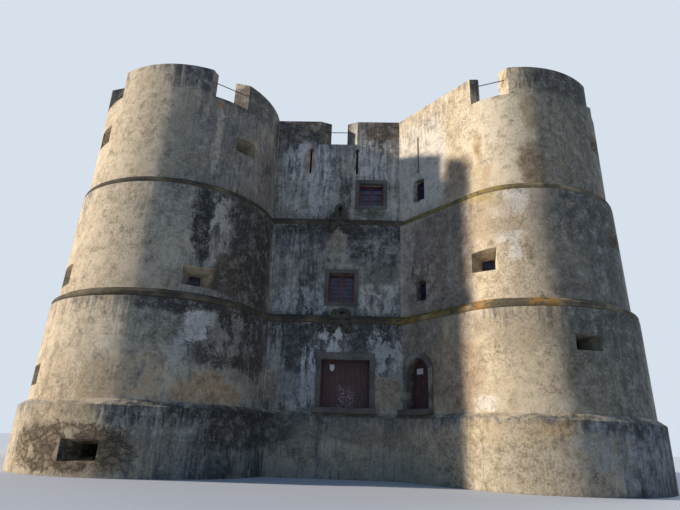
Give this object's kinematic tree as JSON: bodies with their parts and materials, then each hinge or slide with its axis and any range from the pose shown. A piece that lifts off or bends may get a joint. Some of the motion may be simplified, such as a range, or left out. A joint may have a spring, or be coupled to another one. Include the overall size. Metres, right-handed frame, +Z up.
{
  "type": "four-towered stone castle",
  "caption": "Compact hilltop castle: square keep with round corner towers, rope string courses, a high plinth, merlon parapet, a double gate and an arched side door.",
  "frame": {"origin": "middle of the footprint at the lowest ground line", "axes": "+Z up, the gate faces -Y and +X is to its right as seen from outside"},
  "size_m": [32.06, 32.06, 21.53],
  "materials": {
    "lime_render": "matte",
    "floor_stone": "matte",
    "granite": "matte",
    "door_timber": "worn paint",
    "window_timber": "worn paint",
    "window_glass": "smooth",
    "dark_steel": "satin",
    "wrought_iron": "rough"
  },
  "bodies": {
    "masonry": {"plinth_on_towers": "lime_render", "plinth_on_walls": "lime_render", "left_tower_ground": "lime_render", "right_tower_ground": "lime_render", "back_towers_ground": "lime_render", "side_and_back_walls_ground": "lime_render", "left_tower_first_storey": "lime_render", "right_tower_first_storey": "lime_render", "back_towers_first_storey": "lime_render", "side_and_back_walls_first_storey": "lime_render", "left_tower_second_storey": "lime_render", "right_tower_second_storey": "lime_render", "back_towers_second_storey": "lime_render", "side_and_back_walls_second_storey": "lime_render", "left_tower_parapet": "lime_render", "right_tower_parapet": "lime_render", "back_towers_parapet": "lime_render", "side_and_back_walls_parapet": "lime_render", "front_wall_beside_gate": "lime_render", "front_wall_over_gate": "lime_render", "front_wall_first_storey": "lime_render", "front_wall_second_storey": "lime_render", "front_wall_parapet": "lime_render", "turned_wall_beside_door": "lime_render", "turned_wall_over_door": "lime_render", "cellar_floor": "floor_stone", "ground_floor": "floor_stone", "first_floor": "floor_stone", "second_floor": "floor_stone", "terrace": "floor_stone", "lower_cord_on_towers": "granite", "lower_cord_on_walls": "granite", "upper_cord_on_towers": "granite", "upper_cord_on_walls": "granite", "lower_knot": "granite", "upper_knot": "granite", "doorsteps": "granite", "gate_surround": "granite", "side_door_surround": "granite", "window_borders": "granite", "window_frames": "window_timber", "window_panes": "window_glass", "crenel_rails": "dark_steel", "hinge_pintles": "wrought_iron"},
    "gate_left": {"gate_leaf_left": "door_timber"},
    "gate_right": {"gate_leaf_right": "door_timber"},
    "side_door": {"side_door_leaf": "door_timber"}
  },
  "joints": [
    {"name": "gate_left_hinge", "type": "hinge", "parent": "masonry", "child": "gate_left", "pos_m": [-1, -10.43, 3.3], "axis": [0, 0, 1], "range_deg": [0, 90]},
    {"name": "gate_right_hinge", "type": "hinge", "parent": "masonry", "child": "gate_right", "pos_m": [1.72, -10.43, 3.3], "axis": [0, 0, -1], "range_deg": [0, 90]},
    {"name": "side_door_hinge", "type": "hinge", "parent": "masonry", "child": "side_door", "pos_m": [4.92159, -12.01417, 3.3], "axis": [0, 0, -1], "range_deg": [0, 90]}
  ]
}
